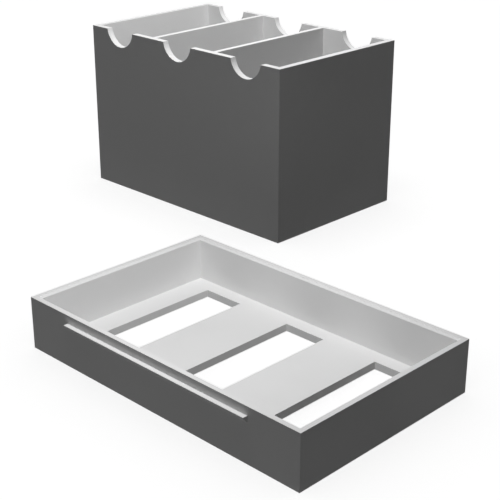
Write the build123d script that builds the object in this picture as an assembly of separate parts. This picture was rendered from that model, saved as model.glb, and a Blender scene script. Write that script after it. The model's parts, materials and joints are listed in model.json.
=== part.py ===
"""Storage box for three camera batteries, with its lid taken off and laid in front of it.

All sizes are in millimetres. X runs along the row of batteries, Y from front to back and Z up.
The origin is the middle of the box's underside. Each piece is one printed plastic shell.
"""
import os

from build123d import *

# One compartment: a battery standing on its end, with room for fingers in front and behind.
compartment_width = 25.1
compartment_depth = 47.0
compartment_height = 50.0

# Walls of the box.
box_wall = 2.0
box_divider = 1.65
box_floor = 2.0

# Half-round finger notches in the front and back walls, one pair to a compartment.
# Each shift is how far a notch stands to the right of its compartment's middle.
notch_radius = 6.15
notch_depth = 5.15
left_notch_shift = -1.1
middle_notch_shift = -1.2
right_notch_shift = 1.2

# The lid slips over the outside of the box with a small gap all round.
lid_gap = 0.25
lid_wall = 1.8
lid_top = 2.0
lid_inner_height = 11.5
lid_lead_in = 0.5

# Windows through the lid's top, one to a compartment, so that the batteries can be counted.
# Each shift is how far a window stands to the right of its compartment's middle.
window_width = 12.1
window_margin = 5.85
left_window_shift = -1.75
middle_window_shift = 0.0
right_window_shift = 1.3

# Finger ledge along the lid's front. Its flat face looks at the lid's open edge, so that
# a fingernail can push the lid off, and its other face slopes back to the wall.
ledge_length = 58.2
ledge_reach = 1.25
ledge_nose = 0.3
ledge_height = 1.6
ledge_drop = 2.1

# Where the lid lies: open side up, in front of the box and to its right.
lid_distance = 34.0
lid_shift = 88.0

# How far a cut runs past the face that it opens.
cut_past = 1.0

# Sizes that follow from the ones above.
box_width = 3 * compartment_width + 2 * box_divider + 2 * box_wall
box_depth = compartment_depth + 2 * box_wall
box_height = compartment_height + box_floor
compartment_pitch = compartment_width + box_divider
compartment_centres = (-compartment_pitch, 0.0, compartment_pitch)
notch_shifts = (left_notch_shift, middle_notch_shift, right_notch_shift)
window_shifts = (left_window_shift, middle_window_shift, right_window_shift)
lid_inner_width = box_width + 2 * lid_gap
lid_inner_depth = box_depth + 2 * lid_gap
lid_width = lid_inner_width + 2 * lid_wall
lid_depth = lid_inner_depth + 2 * lid_wall
lid_height = lid_inner_height + lid_top
window_length = lid_depth - 2 * window_margin
lid_x = lid_shift
lid_y = -(box_depth / 2 + lid_distance + lid_depth / 2)


def compartment_cut(centre):
    """The room for one battery, open at the top."""
    outline = Rectangle(compartment_width, compartment_depth)
    return Pos(centre, 0, box_floor) * extrude(outline, compartment_height + cut_past)


def notch_cut(centre):
    """A round bar through the front and back walls, its axis a little above the rim."""
    axis_height = box_height + notch_radius - notch_depth
    bar = Cylinder(notch_radius, box_depth + 2 * cut_past)
    return Pos(centre, 0, axis_height) * Rot(90, 0, 0) * bar


def make_box():
    """The box: four walls, a floor and two dividers, with six finger notches."""
    box = extrude(Rectangle(box_width, box_depth), box_height)
    for centre, shift in zip(compartment_centres, notch_shifts):
        box -= compartment_cut(centre)
        box -= notch_cut(centre + shift)
    return box


def lid_hollow():
    """The room inside the lid, flaring at the open edge to lead the box in."""
    outline = Rectangle(lid_inner_width, lid_inner_depth)
    room = Pos(0, 0, lid_top) * extrude(outline, lid_inner_height + cut_past)
    flare = Pos(0, 0, lid_height - lid_lead_in) * extrude(outline, lid_lead_in, taper=-45)
    return room + flare


def window_cut(centre):
    """A long window through the lid's top, running from front to back."""
    outline = Rectangle(window_width, window_length)
    return Pos(centre, 0, -cut_past) * extrude(outline, lid_top + 2 * cut_past)


def finger_ledge():
    """A bar along the lid's front: flat towards the open edge, sloping back on its other side."""
    flat_z = lid_height - ledge_drop
    wall_y = -lid_depth / 2
    root_y = wall_y + lid_wall / 2
    profile = Polyline(
        (0, root_y, flat_z),
        (0, wall_y - ledge_reach, flat_z),
        (0, wall_y - ledge_reach, flat_z - ledge_nose),
        (0, wall_y, flat_z - ledge_height),
        (0, root_y, flat_z - ledge_height),
        close=True,
    )
    return extrude(make_face(profile), ledge_length / 2, dir=(1, 0, 0), both=True)


def make_lid():
    """The lid, lying on its top with its open side up."""
    lid = extrude(Rectangle(lid_width, lid_depth), lid_height)
    lid -= lid_hollow()
    for centre, shift in zip(compartment_centres, window_shifts):
        lid -= window_cut(centre + shift)
    return lid + finger_ledge()


pieces = {
    "battery_box": make_box(),
    "lid": Pos(lid_x, lid_y, 0) * make_lid(),
}

os.makedirs("parts", exist_ok=True)
for name, piece in pieces.items():
    export_step(piece, f"parts/{name}.step")
    print(name, round(piece.volume, 1), [round(size, 2) for size in piece.bounding_box().size])
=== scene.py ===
import json
import math

import bpy
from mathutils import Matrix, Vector

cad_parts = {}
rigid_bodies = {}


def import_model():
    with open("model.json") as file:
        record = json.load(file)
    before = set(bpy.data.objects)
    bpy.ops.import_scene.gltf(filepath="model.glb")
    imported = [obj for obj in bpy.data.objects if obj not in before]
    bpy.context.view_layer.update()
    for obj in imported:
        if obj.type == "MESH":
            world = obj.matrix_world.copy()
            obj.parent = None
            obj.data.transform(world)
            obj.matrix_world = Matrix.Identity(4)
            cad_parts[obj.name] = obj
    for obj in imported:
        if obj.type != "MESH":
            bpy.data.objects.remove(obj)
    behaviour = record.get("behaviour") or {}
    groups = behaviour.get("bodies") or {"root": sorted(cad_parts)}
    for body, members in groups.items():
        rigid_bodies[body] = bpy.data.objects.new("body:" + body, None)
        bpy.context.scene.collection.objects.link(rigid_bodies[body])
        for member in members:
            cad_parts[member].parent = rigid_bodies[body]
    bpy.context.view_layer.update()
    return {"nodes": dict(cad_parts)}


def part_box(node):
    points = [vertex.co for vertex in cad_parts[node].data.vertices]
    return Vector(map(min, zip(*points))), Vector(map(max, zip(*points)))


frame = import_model()
scene = bpy.context.scene
scene.view_settings.view_transform = "Standard"
print("frame loaded:", ", ".join(frame["nodes"]))


def grey(tone):
    return (tone, tone, tone, 1)


def emptyTree(owner):
    # clears a material or world and gives back two short helpers: add a node, join two sockets
    owner.use_nodes = True
    tree = owner.node_tree
    tree.nodes.clear()

    def add(kind, sockets=None, **settings):
        node = tree.nodes.new(kind)
        for name, value in settings.items():
            setattr(node, name, value)
        for name, value in (sockets or {}).items():
            node.inputs[name].default_value = value
        return node

    return add, tree.links.new


# grey printed plastic, for the box and the lid
plastic = {
    "tone": 0.745,              # linear grey
    "toneSpread": 0.012,        # how far the tone wanders up and down
    "roughness": 0.62,
    "roughSpread": 0.05,
    "gloss": 0.25,              # specular level, low for a matte print
    "patchSize": 0.018,         # m, size of the patches that the tone and roughness wander over
    "patchDetail": 3,
    "noiseMiddle": (0.3, 0.7),  # the part of its range that the patch noise really fills
    "layerPitch": 0.0002,       # m, height of one printed layer
    "layerDepth": 0.000005,     # m
    "layerWaver": 0.6,          # how unevenly the layers lie
    "layerDetail": 1,
    "grainSize": 0.00035,       # m, fine grain of the printed surface
    "grainDepth": 0.00001,      # m
    "grainDetail": 2,
}


def makePlastic():
    made = bpy.data.materials.new("greyPrintedPlastic")
    add, join = emptyTree(made)
    out = add("ShaderNodeOutputMaterial")
    shader = add("ShaderNodeBsdfPrincipled", {"Specular IOR Level": plastic["gloss"]})
    join(shader.outputs["BSDF"], out.inputs["Surface"])
    coords = add("ShaderNodeTexCoord").outputs["Object"]

    patchSockets = {"Scale": 1 / plastic["patchSize"], "Detail": plastic["patchDetail"]}
    patches = add("ShaderNodeTexNoise", patchSockets)
    join(coords, patches.inputs["Vector"])

    def wander(middle, spread):
        # middle plus or minus spread, as the patch noise goes
        low, high = plastic["noiseMiddle"]
        limits = {"From Min": low, "From Max": high, "To Min": middle - spread, "To Max": middle + spread}
        ramp = add("ShaderNodeMapRange", limits)
        join(patches.outputs["Fac"], ramp.inputs["Value"])
        return ramp.outputs["Result"]

    tone = wander(plastic["tone"], plastic["toneSpread"])
    colour = add("ShaderNodeCombineColor")
    for channel in ("Red", "Green", "Blue"):
        join(tone, colour.inputs[channel])
    join(colour.outputs["Color"], shader.inputs["Base Color"])
    join(wander(plastic["roughness"], plastic["roughSpread"]), shader.inputs["Roughness"])

    # layer lines are a sine of the height: Blender's wave goes round 20 * scale / (2 * pi) times a metre
    layerSockets = {
        "Scale": math.pi / (10 * plastic["layerPitch"]),
        "Distortion": plastic["layerWaver"],
        "Detail": plastic["layerDetail"],
    }
    layers = add("ShaderNodeTexWave", layerSockets, bands_direction="Z")
    grainSockets = {"Scale": 1 / plastic["grainSize"], "Detail": plastic["grainDetail"]}
    grain = add("ShaderNodeTexNoise", grainSockets)
    # each texture's bump stands on the one before it
    normal = None
    for texture, depth in ((layers, plastic["layerDepth"]), (grain, plastic["grainDepth"])):
        join(coords, texture.inputs["Vector"])
        bump = add("ShaderNodeBump", {"Strength": 1, "Distance": depth})
        join(texture.outputs["Fac"], bump.inputs["Height"])
        if normal:
            join(normal, bump.inputs["Normal"])
        normal = bump.outputs["Normal"]
    join(normal, shader.inputs["Normal"])
    return made


greyPlastic = makePlastic()
for piece in frame["nodes"].values():
    for slot in piece.material_slots:
        slot.material = greyPlastic
print("plastic on", len(frame["nodes"]), "pieces")

# floor and world
studio = {
    "floorSide": 4.0,     # m
    "floorTone": 0.8,     # linear grey
    "floorGlow": 0.96,    # what camera and mirror rays see on top of the floor's own light
    "paintedShadowReach": 0.03,  # m, how far the painted soft shadow spreads round the object
    "paintedShadowDepth": 0.25,  # how much of the glow is gone where nothing of the sky is seen, the depth of the painted shadow
    "paintedShadowRays": 8,
    "skyFill": 0.057,     # what the world sends to the object
}


def seenDirectly(add, join):
    # 1 for camera, glossy and transmission rays, 0 for the light that falls on the object
    path = add("ShaderNodeLightPath")
    seen = path.outputs["Is Camera Ray"]
    for name in ("Is Glossy Ray", "Is Transmission Ray"):
        either = add("ShaderNodeMath", operation="MAXIMUM")
        join(seen, either.inputs[0])
        join(path.outputs[name], either.inputs[1])
        seen = either.outputs[0]
    return seen


def makeFloor():
    half = studio["floorSide"] / 2
    corners = [(-half, -half, 0), (half, -half, 0), (half, half, 0), (-half, half, 0)]
    mesh = bpy.data.meshes.new("floor")
    mesh.from_pydata(corners, [], [(0, 1, 2, 3)])
    floor = bpy.data.objects.new("floor", mesh)
    scene.collection.objects.link(floor)

    paleFloor = bpy.data.materials.new("paleFloor")
    mesh.materials.append(paleFloor)
    add, join = emptyTree(paleFloor)
    out = add("ShaderNodeOutputMaterial")
    matte = add("ShaderNodeBsdfDiffuse", {"Color": grey(studio["floorTone"])})
    glow = add("ShaderNodeEmission")
    # the floor's matte part takes real shadow from the sky and the front lamp; the glow on top is dimmed
    # by ambient occlusion where the object stands over the floor, a painted soft shadow
    reach = {"Distance": studio["paintedShadowReach"]}
    # ambient occlusion sets how much of the glow is painted away as shadow
    openSky = add("ShaderNodeAmbientOcclusion", reach, samples=studio["paintedShadowRays"])
    darkest = studio["floorGlow"] * (1 - studio["paintedShadowDepth"])
    paintedShadowFade = add("ShaderNodeMapRange", {"To Min": darkest, "To Max": studio["floorGlow"]})
    join(openSky.outputs["AO"], paintedShadowFade.inputs["Value"])
    strength = add("ShaderNodeMath", operation="MULTIPLY")
    join(seenDirectly(add, join), strength.inputs[0])
    join(paintedShadowFade.outputs["Result"], strength.inputs[1])
    join(strength.outputs[0], glow.inputs["Strength"])
    both = add("ShaderNodeAddShader")
    join(matte.outputs[0], both.inputs[0])
    join(glow.outputs[0], both.inputs[1])
    join(both.outputs[0], out.inputs["Surface"])


def makeWorld():
    scene.world = bpy.data.worlds.new("studio")
    add, join = emptyTree(scene.world)
    out = add("ShaderNodeOutputWorld")
    fill = add("ShaderNodeBackground", {"Color": grey(1), "Strength": studio["skyFill"]})
    white = add("ShaderNodeBackground", {"Color": grey(1), "Strength": 1})
    pick = add("ShaderNodeMixShader")
    join(seenDirectly(add, join), pick.inputs["Fac"])
    join(fill.outputs[0], pick.inputs[1])
    join(white.outputs[0], pick.inputs[2])
    join(pick.outputs[0], out.inputs["Surface"])


makeFloor()
makeWorld()
print("floor and world made")

# a small soft lamp over each piece that lights that piece alone; its place and aim are in metres
# from the left front corner of the piece's rim, its width is in metres and its power in watts
lampsOver = {
    "battery_box": {
        "place": (0.070, 0.004, 0.140),
        "aim": (-0.050, 0.073, 0),
        "width": 0.02,
        "power": 0.302,
    },
    "lid": {
        "place": (0.062, 0.005, 0.125),
        "aim": (-0.037, 0.065, 0),
        "width": 0.02,
        "power": 0.187,
    },
}
# a wide weak lamp in front of both, for the front walls, in metres from the frame's origin
frontLamp = {"place": (0, -1.36, 0.65), "aim": (0, 0, 0.02), "width": 1.0, "power": 0.82}


def addLamp(name, settings, corner):
    place = corner + Vector(settings["place"])
    aim = corner + Vector(settings["aim"])
    light = bpy.data.lights.new(name, "AREA")
    light.shape = "DISK"
    light.size = settings["width"]
    light.energy = settings["power"]
    lamp = bpy.data.objects.new(name, light)
    scene.collection.objects.link(lamp)
    lamp.location = place
    lamp.rotation_euler = (aim - place).to_track_quat("-Z", "Y").to_euler()
    lamp.visible_camera = False
    return lamp


for name, settings in lampsOver.items():
    (left, front, _), (_, _, rim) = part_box(name)
    lamp = addLamp(name + "Lamp", settings, Vector((left, front, rim)))
    lamp.parent = frame["nodes"][name].parent  # goes where its piece goes
    lit = bpy.data.collections.new(name + "Lit")
    lit.objects.link(frame["nodes"][name])
    lamp.light_linking.receiver_collection = lit
addLamp("frontLamp", frontLamp, Vector())
print("lamps made")

# the photograph's view: azimuth 0 looks along +Y and 90 along -X
view = {
    "azimuth": 44.67,                    # degrees
    "elevation": 22.83,                  # degrees above the horizon
    "place": (0.2594, -0.2578, 0.1320),  # m
    "lens": 84.6,                        # mm, on a sensor 36 mm wide
    "nearest": 0.01,                     # m, nothing nearer to the camera is drawn
}
cameraData = bpy.data.cameras.new("camera")
cameraData.lens = view["lens"]
cameraData.clip_start = view["nearest"]
camera = bpy.data.objects.new("camera", cameraData)
scene.collection.objects.link(camera)
camera.location = view["place"]
camera.rotation_euler = (math.radians(90 - view["elevation"]), 0, math.radians(view["azimuth"]))
scene.camera = camera
print("camera set")
